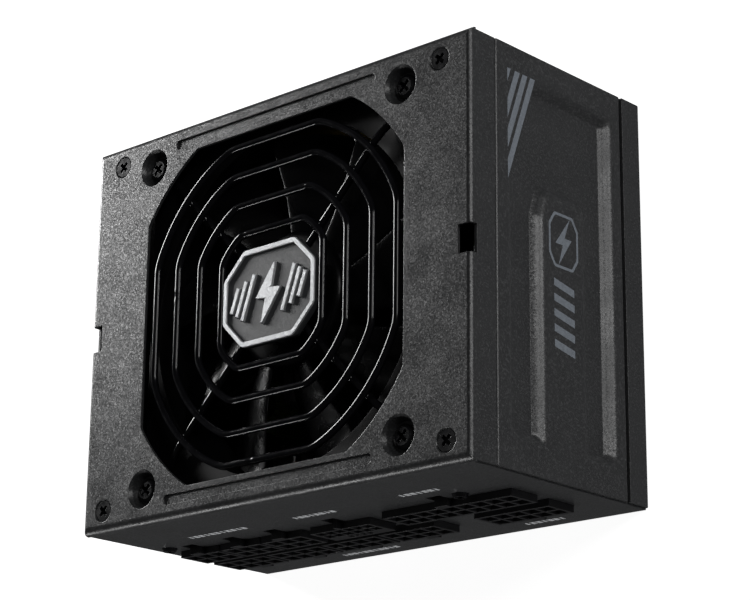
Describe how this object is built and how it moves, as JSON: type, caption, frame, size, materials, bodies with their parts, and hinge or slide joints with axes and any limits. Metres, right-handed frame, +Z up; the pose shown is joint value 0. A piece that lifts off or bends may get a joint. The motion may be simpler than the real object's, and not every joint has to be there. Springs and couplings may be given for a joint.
{
  "type": "computer power supply unit",
  "caption": "Compact modular computer power supply with a fan under a wire grille, modular output sockets on the front and a mains inlet with a rocker switch on the rear.",
  "frame": {"origin": "centre of the bottom face of the case, which is the middle of the bounding box at its base", "axes": "+X along the width, +Y towards the mains inlet at the rear, +Z up through the fan face"},
  "size_m": [0.125, 0.1038, 0.0635],
  "materials": {
    "case_paint": "fine textured powder coat",
    "black_screw": "satin black",
    "zinc_steel": "zinc plated",
    "label_film": "satin film",
    "clear_film": "satin film",
    "grille_gloss": "gloss black",
    "badge_metal": "satin",
    "badge_paint": "fine textured",
    "fan_plastic": "satin black",
    "rotor_plastic": "gloss black",
    "magnet": "matt",
    "ground_steel": "ground",
    "bronze": "sintered",
    "core_steel": "laminated",
    "copper_wire": "enamelled",
    "cable_black": "satin",
    "inlet_plastic": "satin black",
    "rocker_plastic": "gloss black",
    "tinned_brass": "tinned",
    "lead_insulation": "satin",
    "circuit_board": "solder mask",
    "socket_plastic": "fine moulded texture",
    "copper_bar": "bare copper",
    "brass_standoff": "turned",
    "capacitor_sleeve": "shrunk sleeve",
    "ferrite": "sintered",
    "winding_tape": "polyester tape",
    "choke_coating": "epoxy coated with windings",
    "package_black": "moulded epoxy",
    "bare_aluminium": "mill finish",
    "ceramic_body": "matt ceramic with metal caps"
  },
  "bodies": {
    "case": {"cover": "case_paint", "side_panel_right": "case_paint", "side_panel_left": "case_paint", "base_tray": "case_paint", "front_panel": "case_paint", "rear_panel": "case_paint", "wall_angles": "zinc_steel", "cover_screws": "black_screw", "tray_rivets": "zinc_steel", "panel_screws": "black_screw", "board_brackets": "zinc_steel", "spec_label": "label_film", "insulating_sheet": "clear_film", "fan_grille": "grille_gloss", "badge_plate": "badge_metal", "badge_field": "badge_paint", "badge_emblem": "badge_metal", "fan_frame": "fan_plastic", "fan_screws": "black_screw", "fan_bearing": "bronze", "stator_core": "core_steel", "stator_coils": "copper_wire", "fan_cable": "cable_black", "ac_inlet": "inlet_plastic", "inlet_pins": "tinned_brass", "switch_housing": "inlet_plastic", "switch_terminals": "tinned_brass", "mains_leads": "lead_insulation", "modular_board": "circuit_board", "socket_18_pin": "socket_plastic", "socket_10_pin": "socket_plastic", "socket_6_pin_1": "socket_plastic", "socket_6_pin_2": "socket_plastic", "socket_6_pin_3": "socket_plastic", "socket_8_pin_1": "socket_plastic", "socket_8_pin_2": "socket_plastic", "socket_8_pin_3": "socket_plastic", "socket_8_pin_4": "socket_plastic", "socket_16_pin": "socket_plastic", "socket_contacts": "tinned_brass", "bus_bars": "copper_bar", "main_board": "circuit_board", "board_standoffs": "brass_standoff", "board_screws": "zinc_steel", "bulk_capacitor": "capacitor_sleeve", "transformer_core": "ferrite", "transformer_winding": "winding_tape", "pfc_choke": "winding_tape", "line_choke": "choke_coating", "rectifier": "package_black", "heatsinks": "bare_aluminium", "power_transistors": "package_black", "output_capacitors": "bare_aluminium", "output_chokes": "choke_coating", "converter_boards": "circuit_board", "fuse": "ceramic_body"},
    "rotor": {"fan_rotor": "rotor_plastic", "rotor_magnet": "magnet", "fan_shaft": "ground_steel"},
    "rocker": {"switch_rocker": "rocker_plastic"}
  },
  "joints": [
    {"name": "fan_spin", "type": "hinge", "parent": "case", "child": "rotor", "pos_m": [0, 0, 0.05], "axis": [0, 0, 1], "continuous": true},
    {"name": "switch_rock", "type": "hinge", "parent": "case", "child": "rocker", "pos_m": [0.009, 0.046, 0.02], "axis": [1, 0, 0], "range_deg": [0, 22]}
  ]
}
